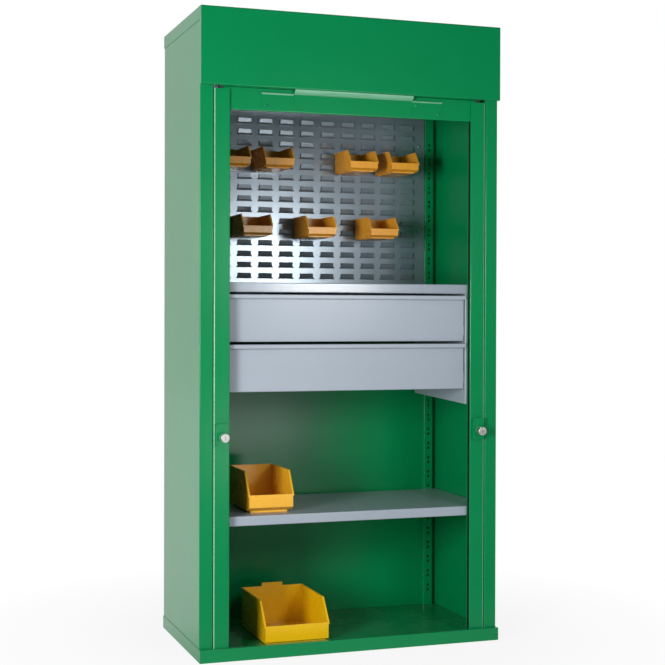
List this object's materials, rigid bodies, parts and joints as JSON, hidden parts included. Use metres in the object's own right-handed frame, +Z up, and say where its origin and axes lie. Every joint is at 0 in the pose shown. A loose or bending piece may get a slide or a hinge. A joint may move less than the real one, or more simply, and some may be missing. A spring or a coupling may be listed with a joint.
{
  "type": "roll front tool cabinet",
  "caption": "Tall green steel tool cabinet with a roller shutter, louvred panel with hanging bins, worktop, drawers and shelf.",
  "frame": {"origin": "centre of the base underside on the floor", "axes": "+Z up, the open front faces -Y, +X to the right seen from the front"},
  "size_m": [1, 0.553, 2],
  "materials": {
    "green_paint": "gloss powder coat",
    "grey_paint": "semi gloss powder coat",
    "zinc_plated_steel": "bright zinc plate",
    "black_nylon": "matte moulded",
    "lock_chrome": "polished",
    "amber_plastic": "gloss moulded",
    "yellow_plastic": "gloss moulded"
  },
  "bodies": {
    "carcass": {"back_panel": "green_paint", "barrel_bracket_left": "zinc_plated_steel", "barrel_bracket_right": "zinc_plated_steel", "barrel_shaft": "zinc_plated_steel", "barrel_spring": "zinc_plated_steel", "base_pan": "green_paint", "bracket_nuts": "zinc_plated_steel", "drawer_carrier_left": "grey_paint", "drawer_carrier_right": "grey_paint", "front_upright_left": "green_paint", "front_upright_right": "green_paint", "guide_left": "green_paint", "guide_liners": "black_nylon", "guide_right": "green_paint", "header_fascia": "green_paint", "lock_housing_left": "green_paint", "lock_housing_right": "green_paint", "louvre_panel": "grey_paint", "lower_shelf": "grey_paint", "panel_rails": "zinc_plated_steel", "panel_screws": "zinc_plated_steel", "rear_upright_left": "green_paint", "rear_upright_right": "green_paint", "roll_cover": "green_paint", "shelf_clips": "zinc_plated_steel", "side_panel_left": "green_paint", "side_panel_right": "green_paint", "slide_outers": "zinc_plated_steel", "top_pan": "green_paint", "worktop_shelf": "grey_paint"},
    "shutter": {"bottom_rail": "green_paint", "rail_grip": "green_paint", "latch_plates": "green_paint", "latch_rivets": "zinc_plated_steel", "rail_end_shoes": "black_nylon", "curtain_drop": "green_paint"},
    "barrel": {"barrel_tube": "zinc_plated_steel", "barrel_plugs": "black_nylon", "curtain_roll": "green_paint"},
    "drawer_upper": {"drawer_front_upper": "grey_paint", "drawer_box_upper": "grey_paint", "slide_inner_upper": "zinc_plated_steel"},
    "drawer_lower": {"drawer_front_lower": "grey_paint", "drawer_box_lower": "grey_paint", "slide_inner_lower": "zinc_plated_steel"},
    "slide_middle_upper": {"slide_middle_upper": "zinc_plated_steel"},
    "slide_middle_lower": {"slide_middle_lower": "zinc_plated_steel"},
    "lock_left": {"lock_button_left": "lock_chrome", "lock_spring_left": "zinc_plated_steel"},
    "lock_right": {"lock_button_right": "lock_chrome", "lock_spring_right": "zinc_plated_steel"},
    "shelf_bin": {"shelf_bin": "amber_plastic"},
    "floor_bin": {"floor_bin": "yellow_plastic"},
    "lower_bin_1": {"lower_bin_1": "amber_plastic"},
    "lower_bin_2": {"lower_bin_2": "amber_plastic"},
    "lower_bin_3": {"lower_bin_3": "amber_plastic"},
    "upper_bin_1": {"upper_bin_1": "amber_plastic"},
    "upper_bin_2": {"upper_bin_2": "amber_plastic"},
    "upper_bin_3": {"upper_bin_3": "amber_plastic"},
    "upper_bin_4": {"upper_bin_4": "amber_plastic"}
  },
  "joints": [
    {"name": "shutter_slide", "type": "slide", "parent": "carcass", "child": "shutter", "axis": [0, 0, -1], "range_m": [0, 1.6712], "deforming": ["curtain_drop"]},
    {"name": "barrel_turn", "type": "hinge", "parent": "carcass", "child": "barrel", "pos_m": [0, -0.1406, 1.883], "axis": [1, 0, 0], "range_deg": [0, 1407.56]},
    {"name": "drawer_upper_slide", "type": "slide", "parent": "carcass", "child": "drawer_upper", "axis": [0, 1, 0], "range_m": [-0.38, 0]},
    {"name": "drawer_lower_slide", "type": "slide", "parent": "carcass", "child": "drawer_lower", "axis": [0, 1, 0], "range_m": [-0.38, 0]},
    {"name": "slide_middle_upper_slide", "type": "slide", "parent": "carcass", "child": "slide_middle_upper", "axis": [0, 1, 0], "range_m": [-0.19, 0]},
    {"name": "slide_middle_lower_slide", "type": "slide", "parent": "carcass", "child": "slide_middle_lower", "axis": [0, 1, 0], "range_m": [-0.19, 0]},
    {"name": "lock_left_press", "type": "slide", "parent": "carcass", "child": "lock_left", "axis": [0, 1, 0], "range_m": [0, 0.0085], "stiffness_N_per_m": 500, "deforming": ["lock_spring_left"]},
    {"name": "lock_right_press", "type": "slide", "parent": "carcass", "child": "lock_right", "axis": [0, 1, 0], "range_m": [0, 0.0085], "stiffness_N_per_m": 500, "deforming": ["lock_spring_right"]},
    {"name": "lower_bin_1_lift", "type": "slide", "parent": "carcass", "child": "lower_bin_1", "axis": [0, 0, 1], "range_m": [0, 0.012]},
    {"name": "lower_bin_2_lift", "type": "slide", "parent": "carcass", "child": "lower_bin_2", "axis": [0, 0, 1], "range_m": [0, 0.012]},
    {"name": "lower_bin_3_lift", "type": "slide", "parent": "carcass", "child": "lower_bin_3", "axis": [0, 0, 1], "range_m": [0, 0.012]},
    {"name": "upper_bin_1_lift", "type": "slide", "parent": "carcass", "child": "upper_bin_1", "axis": [0, 0, 1], "range_m": [0, 0.012]},
    {"name": "upper_bin_2_lift", "type": "slide", "parent": "carcass", "child": "upper_bin_2", "axis": [0, 0, 1], "range_m": [0, 0.012]},
    {"name": "upper_bin_3_lift", "type": "slide", "parent": "carcass", "child": "upper_bin_3", "axis": [0, 0, 1], "range_m": [0, 0.012]},
    {"name": "upper_bin_4_lift", "type": "slide", "parent": "carcass", "child": "upper_bin_4", "axis": [0, 0, 1], "range_m": [0, 0.012]},
    {"name": "shelf_bin_slide", "type": "slide", "parent": "carcass", "child": "shelf_bin", "axis": [0, 1, 0], "range_m": [-0.15, 0]},
    {"name": "floor_bin_lift", "type": "slide", "parent": "carcass", "child": "floor_bin", "axis": [0, 0, 1], "range_m": [0, 0.08]}
  ],
  "couplings": [
    {"joint": "barrel_turn", "follows": "shutter_slide", "rad_per_m": 14.7},
    {"joint": "slide_middle_upper_slide", "follows": "drawer_upper_slide", "ratio": 0.5},
    {"joint": "slide_middle_lower_slide", "follows": "drawer_lower_slide", "ratio": 0.5}
  ]
}
